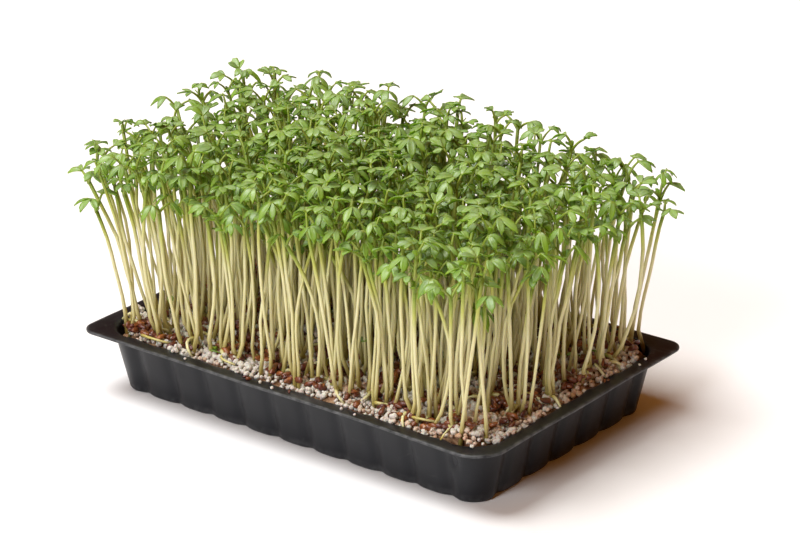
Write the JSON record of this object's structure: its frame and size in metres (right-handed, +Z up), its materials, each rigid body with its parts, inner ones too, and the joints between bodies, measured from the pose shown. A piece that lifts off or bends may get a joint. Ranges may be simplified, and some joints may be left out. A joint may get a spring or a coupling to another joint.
{
  "type": "microgreens tray",
  "caption": "Shallow fluted black plastic tray of white granules, grown full of garden cress seedlings with pale stems and small three-part green leaves.",
  "frame": {"origin": "the middle of the tray's flat underside", "axes": "+X along the tray's long side, +Y along its short side, +Z up"},
  "size_m": [0.1415, 0.0981, 0.0731],
  "materials": {
    "tray": "satin black thermoformed sheet, scuffed along the flange",
    "perlite": "rough porous white to pinkish granules",
    "hull": "satin red-brown seed hulls",
    "cress": "soft satin plant tissue, cream stems turning to green leaves"
  },
  "bodies": {
    "root": {"tray": "tray", "growing_medium": "perlite", "seed_hulls_1": "hull", "seed_hulls_2": "hull", "seed_hulls_3": "hull", "seed_hulls_4": "hull", "seed_hulls_5": "hull", "seed_hulls_6": "hull", "seed_hulls_7": "hull", "seed_hulls_8": "hull", "seedlings_1": "cress", "seedlings_2": "cress", "seedlings_3": "cress", "seedlings_4": "cress", "seedlings_5": "cress", "seedlings_6": "cress", "seedlings_7": "cress", "seedlings_8": "cress", "seedlings_9": "cress", "seedlings_10": "cress", "seedlings_11": "cress", "seedlings_12": "cress", "seedlings_13": "cress", "seedlings_14": "cress", "seedlings_15": "cress", "seedlings_16": "cress", "seedlings_17": "cress", "seedlings_18": "cress", "seedlings_19": "cress", "seedlings_20": "cress", "seedlings_21": "cress", "seedlings_22": "cress", "seedlings_23": "cress", "seedlings_24": "cress", "seedlings_25": "cress", "seedlings_26": "cress", "seedlings_27": "cress", "seedlings_28": "cress", "seedlings_29": "cress", "seedlings_30": "cress", "seedlings_31": "cress", "seedlings_32": "cress", "seedlings_33": "cress", "seedlings_34": "cress", "seedlings_35": "cress", "seedlings_36": "cress", "seedlings_37": "cress", "seedlings_38": "cress", "seedlings_39": "cress", "seedlings_40": "cress", "seedlings_41": "cress", "seedlings_42": "cress", "seedlings_43": "cress", "seedlings_44": "cress", "seedlings_45": "cress", "seedlings_46": "cress", "seedlings_47": "cress", "seedlings_48": "cress", "seedlings_49": "cress", "seedlings_50": "cress"}
  },
  "joints": []
}
